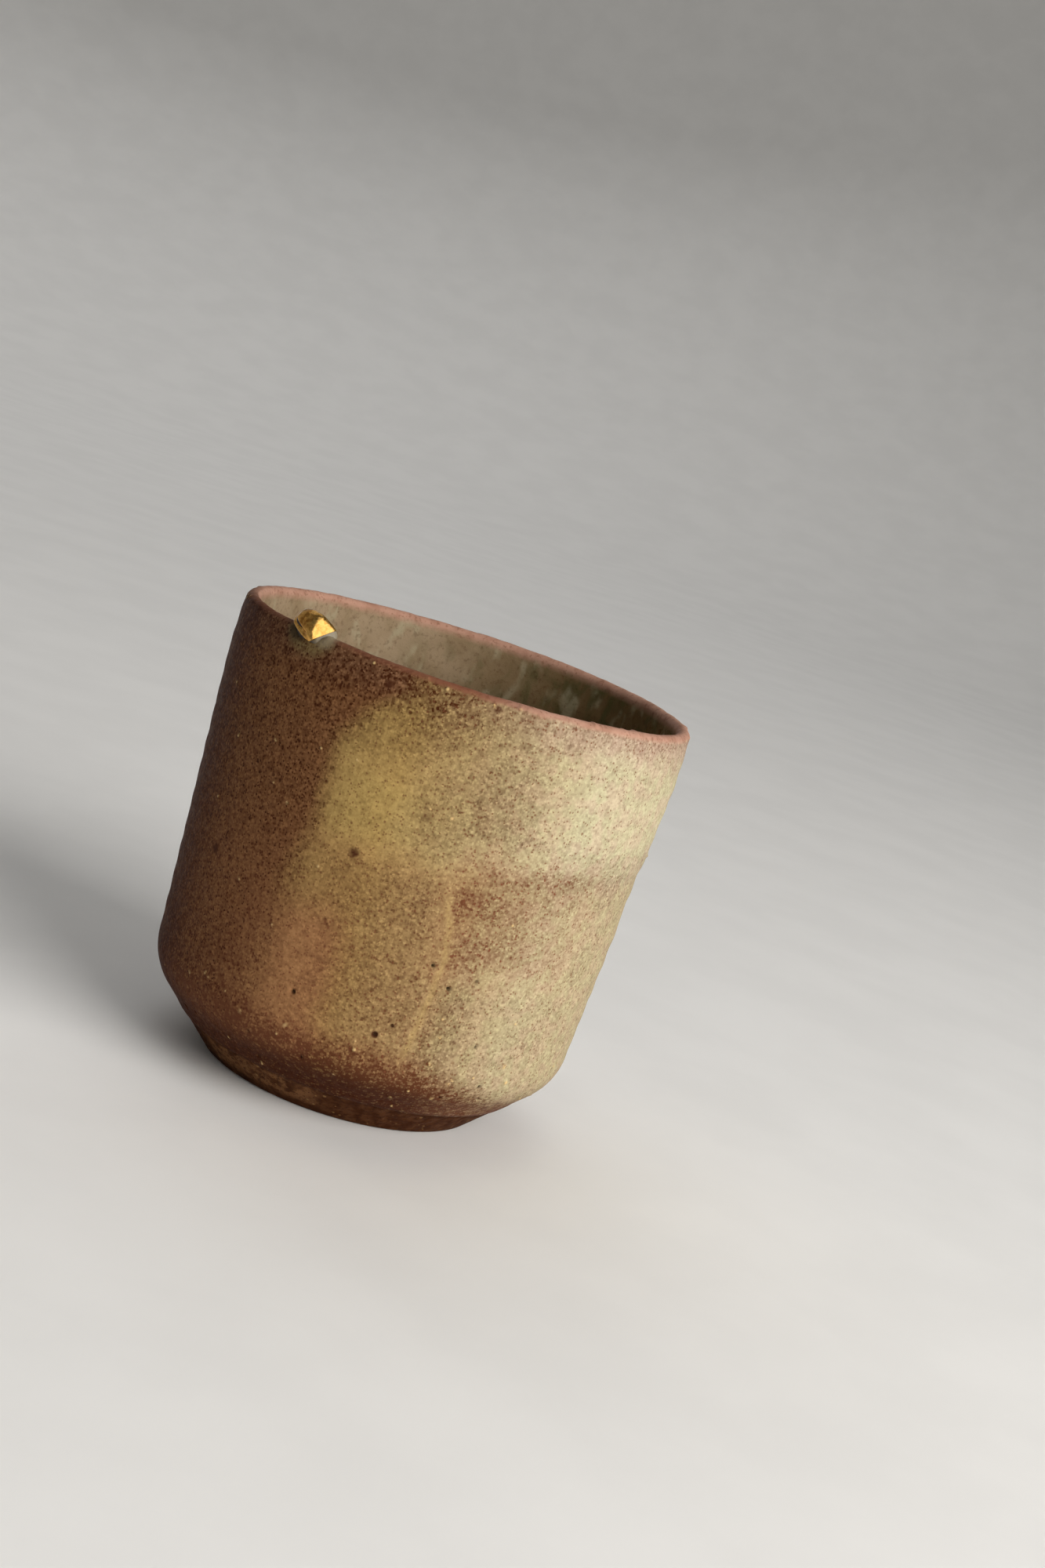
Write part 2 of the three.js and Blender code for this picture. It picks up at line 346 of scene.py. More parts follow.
RIDGE = [(12, 13.5), (20, 15.5), (30, 17.0), (38, 17.5), (45, 15.5), (51, 12.5), (56, 11.0)]
THROWING_PITCH, THROWING_HEIGHT, FINE_THROWING_HEIGHT = 5.3, 0.05, 0.035
LINE_PITCH, LINE_HEIGHT, LINE_SLOPE, LINE_LEVEL = 7.4, 0.07, 0.022, 41.5
INSIDE_PITCH, INSIDE_HEIGHT, FLOOR_PITCH, FLOOR_SPIRAL_HEIGHT = 6.5, 0.09, 6.0, 0.12
TURNING_PITCH, TURNING_HEIGHT = 2.1, 0.05
DENT_DEPTH, DRIP_HEIGHT, ROLL_HEIGHT = 0.28, 0.11, 0.12


def lip_rise(angle):
    """How far the lip rises over its average height."""
    turn = np.radians(angle)
    wander = LIP_WANDER * (np.cos(2 * turn) + 0.5 * np.sin(3 * turn))
    return wander + COLLAR_RISE * np.exp(-(turned(angle - DROP_ANGLE) / COLLAR_REACH) ** 2)


def away_from(mark, where):
    """How far points of the cup are from a mark, in millimetres."""
    across = np.radians(turned(where.angle - mark[0])) * where.radius
    return np.hypot(across, where.height - mark[1])


def mark_relief(where, marks, shape):
    """The sum of the small round marks, each a shape over its distance in units of its radius."""
    total = np.zeros(len(where.angle))
    for mark in marks:
        radius, size = mark[2:]
        away = away_from(mark, where) / radius
        near = away < 2.5
        total[near] += size * shape(away[near])
    return total


def bump_shape(away):
    return np.exp(-1.6 * away**2)


def pit_shape(away):
    return 0.16 * np.exp(-4 * (away - 1.35) ** 2) - smooth(away, 1.15, 0.35)


def outside_relief(points, where):
    """How far the outside stands out over its section, in millimetres."""
    angle, height = where.angle, where.height
    spiral = (height + angle / 90.0) * 2 * math.pi / THROWING_PITCH
    rings = THROWING_HEIGHT * np.sin(spiral + 0.6 * waves(points, 30, 21))
    rings += FINE_THROWING_HEIGHT * waves(points * [0.04, 0.04, 1], 2.6, 22)
    banded = patch(angle, height, (16, 80), (38, 60), 8, 3)
    slanted = height - angle * LINE_SLOPE - LINE_LEVEL
    lines = banded * LINE_HEIGHT * np.sin(slanted * 2 * math.pi / LINE_PITCH)
    dent = -DENT_DEPTH * patch(angle, height, (72, 95), (49, 56), 14, 5)
    wall = smooth(height, 14, 20)
    relief = wall * (rings + lines + dent) + 0.03 * waves(points, 7, 23) + 0.04 * waves(points, 24, 24)
    step = turned(angle - curve(height, RIDGE))
    drip = smooth(step, 0.7, -0.6) * smooth(step, -9, -1.5) * band(height, 15, 48, 5)
    relief += DRIP_HEIGHT * drip
    relief += mark_relief(where, BUMPS, bump_shape)
    relief += mark_relief(where, PITS, pit_shape)
    roll = np.exp(-(((height - GLAZE_LINE - 0.9) / 0.75) ** 2))
    return relief + ROLL_HEIGHT * roll * (1 + 0.6 * waves(points, 6, 25))


def inside_relief(points, where):
    """How far the inside stands out over its section: soft throwing rings, and a spiral on the floor."""
    angle, height, radius = where.angle, where.height, where.radius
    turns = (height + angle / 60.0) * 2 * math.pi / INSIDE_PITCH
    rings = INSIDE_HEIGHT * np.sin(turns + 0.5 * waves(points, 26, 31)) * smooth(height, 22, 30)
    spiral = FLOOR_SPIRAL_HEIGHT * np.sin((radius - angle / 60.0) * 2 * math.pi / FLOOR_PITCH)
    spiral *= smooth(height, 14, 9) * smooth(radius, 1, 5)
    upper = smooth(height, LIP_HEIGHT - 1, LIP_HEIGHT - 6)
    runs = 0.06 * waves(points * [1, 1, 0.25], 4.5, 32) * band(height, 30, 82, 4)
    return upper * (rings + runs) + spiral + 0.05 * waves(points, 9, 33)


def foot_relief(points, where):
    """How far the bare foot stands out over its section: rough clay, and turned rings in the recess."""
    standing = smooth(where.height, 0.3, 1.5)
    rough = standing * (0.07 * waves(points, 3, 41) + 0.05 * waves(points, 1.4, 42))
    turning = TURNING_HEIGHT * np.sin(where.radius * 2 * math.pi / TURNING_PITCH)
    turning *= smooth(where.radius, 21, 19)
    return np.where(where.radius < FOOT_RADIUS - FOOT_RING_WIDTH, rough + turning, rough)


def notch_depth(points):
    """How deep the lip is chipped away where the drop sits."""
    local = on_drop(points)
    reach = smooth(np.abs(local[:, 1]), DROP_HALF_LENGTH * 0.95, DROP_HALF_LENGTH * 0.35)
    return DROP_DEPTH * 0.5 * reach * (local[:, 0] > -LIP_MIDDLE)


def drop_axes():
    turn = math.radians(DROP_ANGLE)
    outward = np.array([math.sin(turn), -math.cos(turn), 0.0])
    along = np.array([math.cos(turn), math.sin(turn), 0.0])
    return outward, along, np.array([0.0, 0.0, 1.0])


def on_drop(points):
    """Points in the drop's own directions: outward, along and up, from the middle of the lip's top."""
    outward, along, up = drop_axes()
    start = outward * LIP_MIDDLE + up * LIP_HEIGHT
    return (points - start) @ np.stack([outward, along, up], axis=1)


def from_drop(local):
    outward, along, up = drop_axes()
    return local @ np.stack([outward, along, up]) + outward * LIP_MIDDLE + up * LIP_HEIGHT


def cup_points():
    """The cup's points and faces, and where each point lies before the relief moves it."""
    points, faces = stitched(cup_rings())
    points, normals, faces = refined(points, faces, BUMPS + PITS + RIM_GRIT)
    where = SimpleNamespace()
    where.radius = np.hypot(points[:, 0], points[:, 1])
    where.angle = np.degrees(np.arctan2(points[:, 0], -points[:, 1]))
    where.height = height = points[:, 2].copy()
    wall_middle = outside_radius(height) - LIP_THICKNESS / 2
    where.outer = (where.radius > wall_middle) | (height < FLOOR_HEIGHT - 2)
    relief = np.where(where.outer, outside_relief(points, where), inside_relief(points, where))
    foot = where.outer & (height < GLAZE_LINE + 0.05)
    relief = np.where(foot, foot_relief(points, where), relief)
    lip = smooth(height, LIP_HEIGHT - 3, LIP_HEIGHT)
    relief += lip * (0.09 * waves(points, 5, 51) + 0.05 * waves(points, 2.2, 52))
    relief += where.outer * mark_relief(where, RIM_GRIT, bump_shape)
    placed = points + normals * relief[:, None]
    share = smooth(height, LIP_HEIGHT - WANDER_REACH, LIP_HEIGHT)
    placed[:, 2] += share * lip_rise(where.angle)
    placed[:, 2] -= smooth(height, LIP_HEIGHT - 5, LIP_HEIGHT - 0.3) * notch_depth(points)
    return placed, faces, where


# Where the glaze is brown, warm, yellow or pale, as fields between 0 and 1. A patch is (amount, angles,
# heights, soft edge round the cup, soft edge up and down). A curve is pairs of a height or angle and a value.

BROWN_EDGE = [
    (16, -24), (22, -29), (28, -28), (36, -26.5), (48, -25), (54, -23.5), (70, -23.5), (76, -19), (82, -10),
]
BROWN_SOFTNESS = [(18, 11), (30, 9), (50, 5), (60, 4)]
BROWN_IRON = [(20, 0.56), (50, 0.42)]
UPPER_IRON = [(-60, 0.06), (-22, 0.28), (-5, 0.46), (8, 0.30), (22, 0.14), (70, 0.14), (120, 0.3)]
REDDISH_TOP = [(14, 52.5), (22, 54.0), (32, 56.0), (60, 57.5)]
BOTTOM_LINE = [
    (-180, 19), (-60, 17.5), (-25, 17.3), (5, 18), (20, 16.4), (35, 13.2), (48, 10), (80, 10), (180, 19),
]
EVEN_IRON = 0.30
IRON_PATCHES = [
    (-0.21, (34, 110), (65, 79), 16, 6),
    (-0.06, (42, 110), (17, 48), 12, 5),
    (0.10, (13, 25), (62, 72), 6, 4),
    (0.07, (0, 24), (18, 66), 8, 6),
    (0.16, (-68, -34), (12, 26), 12, 6),
    (-0.16, (-20, -6), (54, 67), 8, 5),
    (-0.05, (-2, 6), (54, 57.5), 5, 2.5),
    (-0.07, (12, 32), (58.6, 60), 4, 2),
    (0.15, (-13, 11), (24, 50), 8, 4),
    (0.25, (120, 165), (28, 58), 18, 12),
    (0.14, (95, 200), (61, 64), 30, 3),
]
CRISP_IRON_PATCHES = [(0.15, (17, 24), (14, 37), 2.5, 4)]
WARM_PATCHES = [(0.8, (-30, -16), (18, 34), 13, 12), (0.3, (-20, 14), (18, 52), 10, 6)]
YELLOW_PATCHES = [(0.3, (-14, 6), (55, 64), 8, 4), (0.25, (-6, 22), (24, 50), 8, 6)]
RUSTY_PATCHES = [(0.8, (14, 50), (36, 58), 8, 4)]
TOASTED_PATCHES = [(1.0, (-46, -9), (2.6, 5.2), 9, 1.6)]


def patches(angle, height, rows):
    """The sum of soft-edged patches, each times its amount."""
    return sum(amount * patch(angle, height, *edges) for amount, *edges in rows)


def trail(angle, height, start, end, level, half, soft):
    """1 from a crisp start at a level, half as high as half, and fading away to its end on the right."""
    along, length = turned(angle - start), end - start
    fade = smooth(along, -soft, soft) * smooth(along, length, 0.25 * length)
    return fade * band(height, level - half, level + half, 1.6)


def iron_field(angle, height, fine_angle):
    """The share of brown in the glaze of the outside, with painted shade as more brown on the left side.
    fine_angle is for edges that stay crisp.
    """
    across = turned(angle)
    soft = curve(height, BROWN_SOFTNESS)
    dark_side = smooth(turned(angle - curve(height, BROWN_EDGE)), soft, -soft)
    dark_side *= smooth(turned(angle + 180), 12, 50)
    share = EVEN_IRON + dark_side * curve(height, BROWN_IRON)
    # Painted shade: more brown on the left side, from -48° round to the back.
    share += 0.14 * smooth(across, -48, -72) * smooth(across, -178, -140)
    share += patches(angle, height, IRON_PATCHES) + patches(fine_angle, height, CRISP_IRON_PATCHES)
    share += curve(across, UPPER_IRON) * smooth(height, 69, 84)
    reddish = band(turned(fine_angle - 40), -25, 30, 1.6) * smooth(across, 70, 26)
    share += 0.17 * reddish * band(height, 39, curve(across, REDDISH_TOP), 2.5)
    sloping = height - 0.045 * (across - 14)
    share += 0.15 * trail(fine_angle, height, start=13.8, end=38, level=49.4, half=1.7, soft=1.0)
    share += 0.12 * trail(angle, sloping, start=24.0, end=84, level=55.0, half=0.9, soft=6.0)
    share += 0.12 * trail(fine_angle, sloping, start=17.5, end=50, level=41.8, half=1.8, soft=1.6)
    return share, dark_side


def bottom_field(angle, height):
    """How far the dark glaze of the bevel reaches up the shoulder."""
    line = curve(turned(angle), BOTTOM_LINE)
    return smooth(height, line + 4.5, line - 3.5)


def glaze_fields(points, where):
    """Where the glaze of the outside is brown, warm, yellow, pale, rosy or rusty, where it is darker, and
    where it has painted shade on the left side.
    """
    warped = where.angle + 1.3 * waves(points, 13, 61) + 0.7 * waves(points, 4, 64)
    warped += 14 * waves(points, 34, 69) * smooth(np.abs(turned(where.angle)), 100, 150)
    fine_angle = where.angle + 0.35 * waves(points, 5, 65)
    level = where.height + 0.7 * waves(points, 11, 66) + 0.35 * waves(points, 3, 67)
    across = turned(warped)
    iron, dark = iron_field(warped, level, fine_angle)
    iron += 0.03 * waves(points, 3.2, 62) + 0.05 * waves(points, 9, 63) + 0.03 * waves(points, 20, 68)
    from_ridge = turned(fine_angle - curve(where.height, RIDGE) + 1.3)
    stripe = np.exp(-((from_ridge / 0.8) ** 2)) * band(where.height, 21, 47, 5)
    bottom = bottom_field(warped, level)
    iron = iron * (1 - 0.50 * stripe) * (1 - 0.45 * dark)
    iron += (1.0 - iron) * bottom
    warm = patches(warped, level, WARM_PATCHES) + 0.4 * bottom
    pale = np.clip((across + 8) / 48, 0, 1) * smooth(across, 150, 105)
    pale *= (0.78 + 0.22 * smooth(level, 52, 60)) * (1 - 0.4 * stripe)
    yellow = 0.8 * stripe + patches(warped, level, YELLOW_PATCHES)
    rosy = smooth(level, 77, 84) * (0.10 + 0.55 * smooth(across, 0, 45))
    # Darker towards the bottom except on the right, and near the rim on the brown side; the next line is
    # painted shade on the left side, from -44° round to the back.
    shade_and_darkening = 0.9 * smooth(level, 15, 9) * smooth(across, 40, 15) + 0.25 * dark * smooth(level, 76, 83)
    shade_and_darkening += smooth(across, -44, -74) * smooth(across, -178, -140)
    rust = 0.7 * warm + 0.2 * bottom + 0.4 * pale + 0.6 * rosy + 0.5 * dark * smooth(level, 60, 40)
    rust += patches(warped, level, RUSTY_PATCHES)
    fields = dict(iron=iron, warm=warm, yellow=yellow, pale=pale)
    fields |= dict(rosy=rosy, shade_and_darkening=shade_and_darkening, rust=rust, dark=dark)
    return {name: np.clip(value, 0, 1) for name, value in fields.items()}


def rim_fields(points, where):
    """How thin the glaze is at the lip, how the drop has run into the glaze round it, and where painted shade
    falls to the left of and under the drop.
    """
    angle, outer = turned(where.angle), where.outer
    ragged = 0.25 * waves(points, 3, 71) + 0.15 * waves(points, 1.3, 72)
    rightness = smooth(angle, -38, 30) + smooth(angle, -75, -140)
    line = np.where(outer, 0.26 + 0.20 * rightness, 0.7)
    fade = np.where(outer, 0.50 + 0.45 * rightness, 1.7)
    thin = smooth(LIP_HEIGHT - where.height + ragged, line + fade, line)
    thin *= np.where(outer, np.clip(0.5 + rightness, 0, 1), 1.0)
    outward, along, up = on_drop(points).T
    near = smooth(np.abs(outward), 9, 5)
    away = np.hypot((along - 0.5) / 1.5, np.minimum(up + 0.6, 0)) + 0.3 * waves(points, 3, 73)
    misty = np.hypot((along - 4.0) / 1.9, (up + 0.3) / 1.35) + 0.12 * waves(points, 1.5, 74)
    # Painted shade to the left of and under the drop.
    from_drop_shade = np.hypot((along + 2.8) / 2.2, (up + 0.9) / 1.8) + 0.12 * waves(points, 1.5, 75)
    return {
        "thin": thin * (1 - smooth(away, 4.0, 3.0) * near),
        # Where this is 0, on the front-left of the outer lip, the lip is painted darker brown as shade.
        "clay": np.where(outer, smooth(angle, 0, 24) + smooth(angle, -62, -92), 1.0),
        "halo": smooth(away, 5.0, 2.6) * near,
        "milky": smooth(misty, 1.7, 0.6) * near,
        "drop_shade": smooth(from_drop_shade, 1.5, 0.5) * near,
    }


def marks_field(where, marks, rim, core, full_size=None):
    """1 at each mark, fading from core to rim, in radii of the mark. Below full_size a mark is fainter."""
    field = np.zeros(len(where.angle))
    for mark in marks:
        strength = min(1.0, mark[3] / full_size) if full_size else 1.0
        spot = smooth(away_from(mark, where), mark[2] * rim, mark[2] * core)
        field = np.maximum(field, strength * spot)
    return field * where.outer


# Materials


GRAIN_WARP = 0.45


class Graph:
    """A material's nodes, written as calls."""

    def __init__(self, name):
        self.material = bpy.data.materials.new(name)
        self.material.use_nodes = True
        self.tree = self.material.node_tree
        self.tree.nodes.clear()
        self.shader = self.node("ShaderNodeBsdfPrincipled")
        output = self.node("ShaderNodeOutputMaterial")
        self.tree.links.new(self.shader.outputs[0], output.inputs["Surface"])
        scale = self.node("ShaderNodeVectorMath", operation="SCALE")
        self.tree.links.new(self.node("ShaderNodeTexCoord").outputs["Object"], scale.inputs[0])
        scale.inputs["Scale"].default_value = 1 / MM
        self.place = scale.outputs[0]

    def node(self, kind, **settings):
        made = self.tree.nodes.new(kind)
        for key, value in settings.items():
            setattr(made, key, value)
        return made

    def put(self, socket, value):
        if isinstance(value, bpy.types.NodeSocket):
            self.tree.links.new(value, socket)
        elif isinstance(value, tuple) and socket.type == "RGBA":
            socket.default_value = (*value, 1.0)
        else:
            socket.default_value = value

    def set(self, **inputs):
        for name, value in inputs.items():
            self.put(self.shader.inputs[name.replace("_", " ")], value)

    def maths(self, operation, *values, clamp=False):
        made = self.node("ShaderNodeMath", operation=operation, use_clamp=clamp)
        for socket, value in zip(made.inputs, values):
            self.put(socket, value)
        return made.outputs[0]

    def step(self, value, low, high, to_low=0.0, to_high=1.0):
        """A smooth step from to_low at low to to_high at high."""
        made = self.node("ShaderNodeMapRange", interpolation_type="SMOOTHSTEP")
        names = ("Value", "From Min", "From Max", "To Min", "To Max")
        for name, number in zip(names, (value, low, high, to_low, to_high)):
            self.put(made.inputs[name], number)
        return made.outputs[0]

    def mix(self, share, a, b):
        made = self.node("ShaderNodeMix", data_type="RGBA", clamp_factor=True)
        colours = [s for s in made.inputs if s.type == "RGBA"]
        self.put(made.inputs[0], share)
        self.put(colours[0], a)
        self.put(colours[1], b)
        return next(s for s in made.outputs if s.type == "RGBA")

    def noise(self, size, detail=2.0, roughness=0.5, distortion=0.0, stretch=None):
        """Noise with features about size millimetres across."""
        made = self.node("ShaderNodeTexNoise")
        place = self.place
        if stretch:
            scaled = self.node("ShaderNodeVectorMath", operation="MULTIPLY")
            self.put(scaled.inputs[0], place)
            scaled.inputs[1].default_value = stretch
            place = scaled.outputs[0]
        self.put(made.inputs["Vector"], place)
        settings = {"Scale": 1 / size, "Detail": detail, "Roughness": roughness, "Distortion": distortion}
        for name, value in settings.items():
            made.inputs[name].default_value = value
        return made.outputs["Fac"]

    def dots(self, spacing, radius, share):
        """Round dots of uneven size in a share of the cells, which are about spacing millimetres across."""
        made = self.node("ShaderNodeTexVoronoi")
        self.put(made.inputs["Vector"], self.place)
        made.inputs["Scale"].default_value = 1 / spacing
        draw = self.node("ShaderNodeSeparateColor")
        self.put(draw.inputs[0], made.outputs["Color"])
        reach = self.maths("MULTIPLY_ADD", draw.outputs[1], 0.6 * radius / spacing, 0.5 * radius / spacing)
        inner = self.maths("MULTIPLY", reach, 0.45)
        dot = self.step(made.outputs["Distance"], reach, inner)
        return self.maths("MULTIPLY", dot, self.maths("LESS_THAN", draw.outputs[0], share))

    def grains(self, size):
        """Soft grains about size millimetres across: a random number in each middle, 0.5 between them."""
        shift = self.node("ShaderNodeTexNoise")
        self.put(shift.inputs["Vector"], self.place)
        shift.inputs["Scale"].default_value, shift.inputs["Detail"].default_value = 1 / size, 0.0
        moved = self.node("ShaderNodeVectorMath", operation="MULTIPLY_ADD")
        self.put(moved.inputs[0], shift.outputs["Color"])
        moved.inputs[1].default_value = (GRAIN_WARP * size,) * 3
        self.put(moved.inputs[2], self.place)
        made = self.node("ShaderNodeTexVoronoi")
        self.put(made.inputs["Vector"], moved.outputs[0])
        made.inputs["Scale"].default_value = 1 / size
        draw = self.node("ShaderNodeSeparateColor")
        self.put(draw.inputs[0], made.outputs["Color"])
        fall = self.step(made.outputs["Distance"], 0.80, 0.30)
        return self.maths("MULTIPLY_ADD", self.maths("SUBTRACT", draw.outputs[0], 0.5), fall, 0.5)

    def field(self, name, times=None):
        value = self.node("ShaderNodeAttribute", attribute_name=name).outputs["Fac"]
        return value if times is None else self.maths("MULTIPLY", value, times)

    def bump(self, height, distance, strength=1.0, under=None):
        made = self.node("ShaderNodeBump")
        made.inputs["Strength"].default_value = strength
        made.inputs["Distance"].default_value = distance * MM
        self.put(made.inputs["Height"], height)
        if under:
            self.put(made.inputs["Normal"], under)
        return made.outputs["Normal"]


# Colours of the cup, in linear light
OLIVE = (0.425, 0.280, 0.098)
YELLOW = (0.455, 0.330, 0.108)
PALE = (0.474, 0.430, 0.268)
PALE_PINK = (0.495, 0.405, 0.272)
WARM = (0.400, 0.205, 0.088)
UMBER = (0.245, 0.114, 0.048)
ROSY = (0.480, 0.350, 0.270)
RUST = (0.122, 0.044, 0.020)
RUSTY_SPECK = (0.190, 0.062, 0.032)
BROWN = (0.052, 0.014, 0.004)
SPECK = (0.165, 0.066, 0.030)
DARK_BROWN = (0.032, 0.009, 0.003)
SPOT = (0.062, 0.020, 0.009)
# Dark brown for the darkening towards the bottom and for the painted shade on the left side.
SHADE_AND_DARKENING_BROWN = (0.040, 0.008, 0.002)
LIP_CLAY = (0.405, 0.228, 0.162)
# Brown of the lip's clay, also its painted shade on the front-left.
LIP_BROWN_AND_SHADE = (0.190, 0.075, 0.042)
# Pale grit, also standing in for a painted glint on the bumps.
GRIT_AND_GLINT = (0.620, 0.430, 0.190)
HALO = (0.250, 0.185, 0.078)
MILKY = (0.330, 0.275, 0.180)
# Painted shade to the left of and under the drop.
DROP_SHADE = (0.032, 0.024, 0.016)
# Painted shade inside the pits.
PIT_SHADE = (0.010, 0.005, 0.003)
INSIDE = (0.290, 0.212, 0.132)
INSIDE_GREEN = (0.085, 0.080, 0.030)
INSIDE_PALE = (0.350, 0.305, 0.195)
INSIDE_BROWN = (0.150, 0.095, 0.040)
FOOT_CLAY = (0.044, 0.013, 0.004)
FOOT_PALE = (0.085, 0.032, 0.012)
FOOT_TOAST = (0.180, 0.082, 0.034)
FOOT_GRIT = (0.340, 0.190, 0.075)

# Colours of the drop, and of the studio
# The glass's dark left end is painted shade and dark reflection.
SHADED_GLASS, MILKY_GLASS = (0.024, 0.015, 0.008), (0.270, 0.225, 0.155)
# The brown gold of the dome is a painted dark reflection.
GOLD, WORN_GOLD, DARK_REFLECTION_GOLD = (0.92, 0.54, 0.15), (0.66, 0.33, 0.07), (0.36, 0.155, 0.030)
PALE_FLOOR, ROOM, WINDOW_LIGHT = (0.84, 0.83, 0.81), (0.85, 0.88, 0.92), (1.0, 0.98, 0.95)


def ground_colour(g):
    """The glaze between its speckle."""
    ground = g.mix(g.field("yellow"), OLIVE, YELLOW)
    pale = g.mix(g.step(g.noise(3.2, 2), 0.42, 0.62), PALE, PALE_PINK)
    for field, colour in (("pale", pale), ("warm", WARM), ("dark", UMBER), ("rosy", ROSY)):
        ground = g.mix(g.field(field), ground, colour)
    return g.mix(g.field("halo", 0.85), ground, HALO)


def outside_colour(g):
    """Olive glaze, broken by brown iron speckle that grows denser where the field says so."""
    iron, dark, shade_and_darkening, rust = (g.field(name) for name in ("iron", "dark", "shade_and_darkening", "rust"))
    clumps = g.maths("MULTIPLY_ADD", g.noise(1.8, 1.0), 0.36, -0.18)
    soft = g.maths("MULTIPLY_ADD", g.noise(0.7, 1.0), 0.5, -0.25)
    small, grown = g.grains(0.42), g.grains(0.68)
    grain = g.maths("MULTIPLY_ADD", small, 0.6, g.maths("MULTIPLY_ADD", grown, 0.4, -0.5))
    strength = g.maths("MULTIPLY_ADD", iron, 0.85, g.maths("MULTIPLY_ADD", dark, 0.95, 0.55))
    grain = g.maths("MULTIPLY", grain, g.maths("MULTIPLY_ADD", shade_and_darkening, -0.2, strength))
    share = g.maths("MULTIPLY_ADD", iron, 0.90, g.maths("ADD", g.maths("ADD", grain, soft), clumps))
    share = g.maths("ADD", share, g.maths("MULTIPLY_ADD", shade_and_darkening, 0.1, 0.08), clamp=True)
    colour = g.mix(share, ground_colour(g), g.mix(rust, BROWN, RUST))
    large = g.dots(1.35, 0.42, g.maths("MULTIPLY_ADD", iron, 0.20, 0.05))
    specks = g.step(small, 0.80, 0.93, 0.0, 0.62)
    dot_colour = g.mix(rust, SPECK, RUSTY_SPECK)
    dot_colour = g.mix(g.maths("MAXIMUM", dark, shade_and_darkening), dot_colour, DARK_BROWN)
    colour = g.mix(g.maths("MAXIMUM", specks, g.maths("MULTIPLY", large, 0.42)), colour, dot_colour)
    # Dark brown over the darkening towards the bottom and the painted shade on the left side.
    shade_and_darkening_cover = g.maths("MULTIPLY", shade_and_darkening, g.maths("MULTIPLY_ADD", small, 0.8, 0.40), clamp=True)
    colour = g.mix(shade_and_darkening_cover, colour, SHADE_AND_DARKENING_BROWN)
    spot = g.field("spot", g.step(g.noise(0.6, 2), 0.3, 0.6, 0.8, 1.0))
    # The dark mark to the left of and under the drop is painted shade.
    marks = [(g.field("milky", 0.62), MILKY), (g.field("drop_shade", 0.75), DROP_SHADE), (spot, SPOT)]
    # The dark inside the pits is painted shade.
    # The pale grit on the bumps is partly a painted glint.
    marks += [(g.field("pit_shade", 0.9), PIT_SHADE), (g.field("grit", 0.85), GRIT_AND_GLINT)]
    for amount, mark_colour in marks:
        colour = g.mix(amount, colour, mark_colour)
    return colour


def inside_colour(g):
    """A thinner glaze, clouded with green and brown on one side, with pale runs."""
    clouded = g.field("clouded")
    colour = g.mix(clouded, INSIDE, INSIDE_BROWN)
    colour = g.mix(g.step(g.noise(7, 2), 0.35, 0.65, 0.0, 0.35), colour, INSIDE_BROWN)
    cloud = g.step(g.noise(3.4, 3, 0.5, 0.3, stretch=(1, 1, 0.6)), 0.48, 0.66)
    cloud = g.maths("MULTIPLY", cloud, g.maths("MULTIPLY_ADD", clouded, 0.65, 0.12))
    colour = g.mix(cloud, colour, INSIDE_GREEN)
    pale = g.step(g.noise(3.9, 2, 0.5, 0.3, stretch=(1, 1, 0.55)), 0.52, 0.70)
    colour = g.mix(g.maths("MULTIPLY", pale, 0.6), colour, INSIDE_PALE)
    speckle = g.maths("MAXIMUM", g.dots(1.3, 0.4, 0.35), g.step(g.noise(1.1, 3, 0.7), 0.50, 0.70))
    return g.mix(g.maths("MULTIPLY", speckle, 0.34), colour, BROWN)


def foot_colour(g):
    """Bare dark clay with grit, toasted on one side."""
    colour = g.mix(g.step(g.noise(2.2, 4, 0.6), 0.38, 0.66), FOOT_CLAY, FOOT_PALE)
    toast = g.step(g.noise(1.6, 3, 0.6), 0.36, 0.56)
    colour = g.mix(g.field("toasted", toast), colour, FOOT_TOAST)
    colour = g.mix(g.step(g.noise(0.8, 2), 0.52, 0.68, 0.0, 0.8), colour, DARK_BROWN)
    return g.mix(g.maths("MULTIPLY", g.dots(1.3, 0.42, 0.3), 0.55), colour, FOOT_GRIT)


def lip_colour(g):
    """Clay that shows through the thin glaze of the lip, painted darker brown as shade on the front-left of
    the outside.
    """
    colour = g.mix(g.field("clay"), LIP_BROWN_AND_SHADE, LIP_CLAY)
    colour = g.mix(g.step(g.noise(2.4, 3), 0.4, 0.7, 0.0, 0.35), colour, LIP_BROWN_AND_SHADE)
    return g.mix(g.step(g.noise(0.7, 2), 0.54, 0.68, 0.0, 0.4), colour, RUST)


def cup_material():
    g = Graph("speckled_glaze")
    inside, bare, thin, halo = (g.field(name) for name in ("inside", "bare", "thin", "halo"))
    colour = g.mix(inside, outside_colour(g), inside_colour(g))
    colour = g.mix(thin, colour, lip_colour(g))
    colour = g.mix(bare, colour, foot_colour(g))
    satin = g.step(g.noise(1.2, 2), 0.3, 0.7, 0.46, 0.62)
    glossy = g.step(g.noise(3, 2), 0.3, 0.7, 0.22, 0.34)
    satin = g.maths("MULTIPLY", satin, g.maths("SUBTRACT", 1.0, inside))
    rough = g.maths("ADD", satin, g.maths("MULTIPLY", glossy, inside))
    rough = g.maths("SUBTRACT", rough, g.maths("MULTIPLY", halo, 0.2))
    rough = g.maths("ADD", rough, g.maths("MULTIPLY", g.maths("MAXIMUM", bare, thin), 0.2), clamp=True)
    peel = g.bump(g.noise(0.8, 3, 0.6), 0.12, 0.6)
    fine = g.bump(g.noise(0.35, 2, 0.6), 0.04, 0.6, under=peel)
    g.set(Base_Color=colour, Roughness=rough, Normal=fine, Specular_IOR_Level=0.035)
    return g.material


